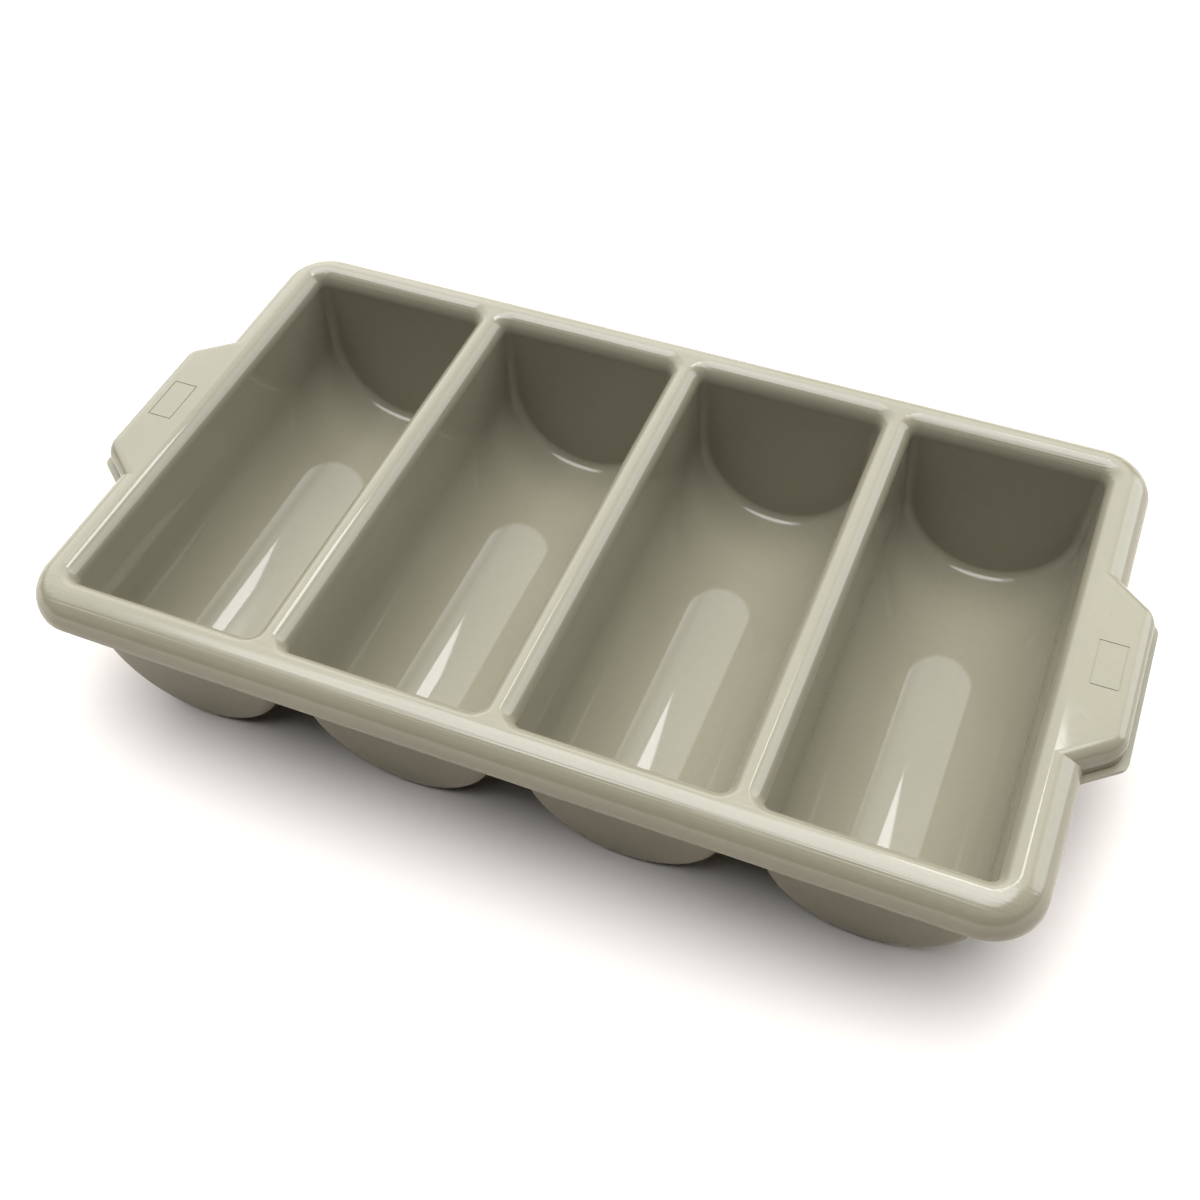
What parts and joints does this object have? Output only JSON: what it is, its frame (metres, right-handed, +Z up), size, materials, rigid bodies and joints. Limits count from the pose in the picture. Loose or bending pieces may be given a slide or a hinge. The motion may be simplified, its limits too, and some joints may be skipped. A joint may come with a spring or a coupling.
{
  "type": "cutlery box",
  "caption": "Open rectangular plastic cutlery box with side-by-side round-bottomed compartments, a rolled rim, plain dividers and a hollow grip lug on each short side.",
  "frame": {"origin": "centre of the footprint on the table, under the lowest lines of the round compartment bottoms", "axes": "+X along the row of compartments towards the right handle, +Y towards the back, +Z up"},
  "size_m": [0.528, 0.29, 0.095],
  "materials": {
    "moulded_plastic": "smooth glossy moulded plastic, light grey-beige"
  },
  "bodies": {
    "root": {"front_rim": "moulded_plastic", "back_rim": "moulded_plastic", "front_left_corner": "moulded_plastic", "front_right_corner": "moulded_plastic", "back_left_corner": "moulded_plastic", "back_right_corner": "moulded_plastic", "lip_1": "moulded_plastic", "lip_2": "moulded_plastic", "lip_3": "moulded_plastic", "lip_4": "moulded_plastic", "compartment_1": "moulded_plastic", "compartment_2": "moulded_plastic", "compartment_3": "moulded_plastic", "compartment_4": "moulded_plastic", "divider_1": "moulded_plastic", "divider_2": "moulded_plastic", "divider_3": "moulded_plastic", "left_handle": "moulded_plastic", "right_handle": "moulded_plastic"}
  },
  "joints": []
}
